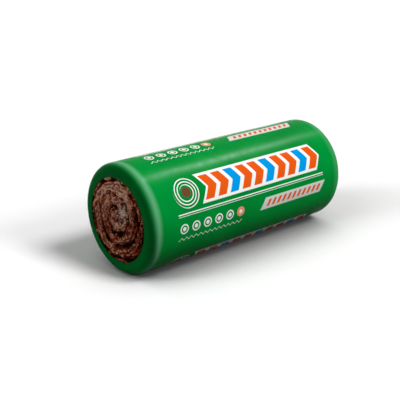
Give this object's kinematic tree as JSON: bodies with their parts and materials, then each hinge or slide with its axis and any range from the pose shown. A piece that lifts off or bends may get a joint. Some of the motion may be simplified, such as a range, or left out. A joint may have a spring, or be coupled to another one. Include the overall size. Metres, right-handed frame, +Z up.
{
  "type": "insulation roll",
  "caption": "Long round roll of brown mineral wool in a green shrink-film sleeve, open in a circle at each end where the spiral turns of the mat show. Insulates roofs, walls and floors.",
  "frame": {"origin": "on the floor, under the middle of the roll as it lies on its side", "axes": "+X along the roll's axis, +Y towards the side that the picture hides, +Z up"},
  "size_m": [1.2, 0.4999, 0.5],
  "materials": {
    "wool": "rough loose fibres",
    "film": "satin printed film"
  },
  "bodies": {
    "root": {"wool_roll": "wool", "film_sleeve": "film"}
  },
  "joints": []
}
